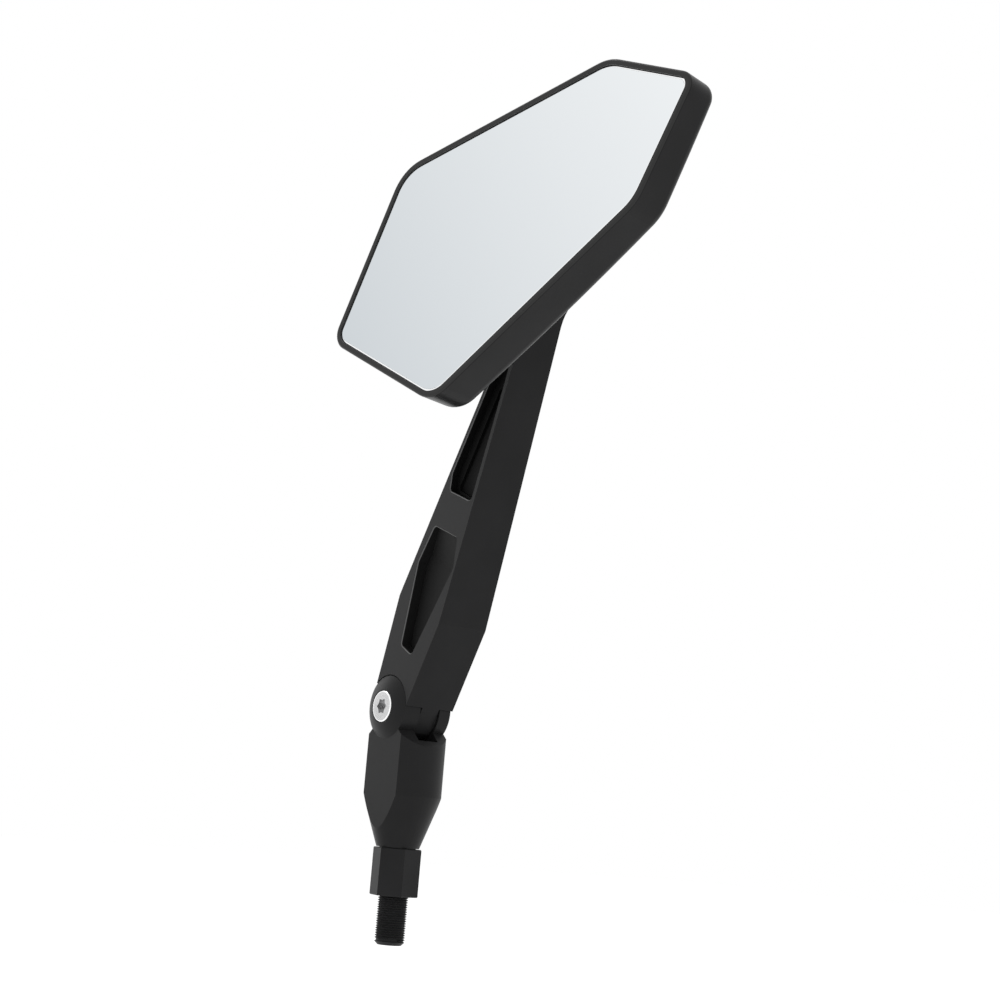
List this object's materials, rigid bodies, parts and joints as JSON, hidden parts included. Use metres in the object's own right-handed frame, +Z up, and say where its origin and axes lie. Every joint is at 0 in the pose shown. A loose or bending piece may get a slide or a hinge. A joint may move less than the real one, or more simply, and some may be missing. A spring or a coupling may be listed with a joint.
{
  "type": "motorcycle mirror",
  "caption": "Motorcycle mirror with a six-sided head on a ball joint, a bent milled arm on a tilting hinge, and a swivelling base with a hexagon and a threaded stud.",
  "frame": {"origin": "on the stud's axis, at the lower face of the hexagon that seats on the handlebar perch", "axes": "+Z up the stud towards the mirror head, the mirror glass faces -Y, the arm leans towards +X"},
  "size_m": [0.1597, 0.0623, 0.2641],
  "materials": {
    "adapter_black": "satin black steel",
    "base_black": "satin black anodised",
    "arm_black": "satin black anodised",
    "housing_black": "satin black anodised",
    "screw_bright": "bright stainless",
    "fastener_steel": "zinc plated",
    "ball_steel": "ground steel",
    "pad_brass": "plain",
    "bearing_plastic": "black acetal",
    "foam": "closed cell foam tape",
    "mirror": "first grade mirror glass"
  },
  "bodies": {
    "adapter": {"stud_adapter": "adapter_black"},
    "base": {"base_fork": "base_black", "thrust_washer": "bearing_plastic", "swivel_bush": "bearing_plastic", "brake_pad": "pad_brass", "swivel_grub_screw": "fastener_steel", "pivot_screw": "screw_bright", "pivot_nut": "fastener_steel", "friction_washer_front": "bearing_plastic", "friction_washer_rear": "bearing_plastic"},
    "arm": {"arm": "arm_black", "pivot_bush": "bearing_plastic", "ball_stud": "ball_steel", "stud_washer": "fastener_steel", "stud_nut": "fastener_steel"},
    "seat": {"seat_ring": "bearing_plastic"},
    "head": {"head_housing": "housing_black", "pressure_cup": "bearing_plastic", "seat_spring": "fastener_steel", "clamp_plate": "fastener_steel", "clamp_screws": "fastener_steel", "glass_pad": "foam", "mirror_glass": "mirror"}
  },
  "joints": [
    {"name": "base_swivel", "type": "hinge", "parent": "adapter", "child": "base", "pos_m": [0, 0, 0.0285], "axis": [0, 0, 1], "continuous": true},
    {"name": "arm_tilt", "type": "hinge", "parent": "base", "child": "arm", "pos_m": [0, 0, 0.0611], "axis": [0, 1, 0], "range_deg": [-90, 45]},
    {"name": "head_pan", "type": "hinge", "parent": "arm", "child": "seat", "pos_m": [0.066, -0.028, 0.20296], "axis": [0, 0, 1], "range_deg": [-25, 5]},
    {"name": "head_tilt", "type": "hinge", "parent": "seat", "child": "head", "pos_m": [0.066, -0.028, 0.20296], "axis": [0.9848, 0.1736, 0], "range_deg": [-11, 17]}
  ]
}
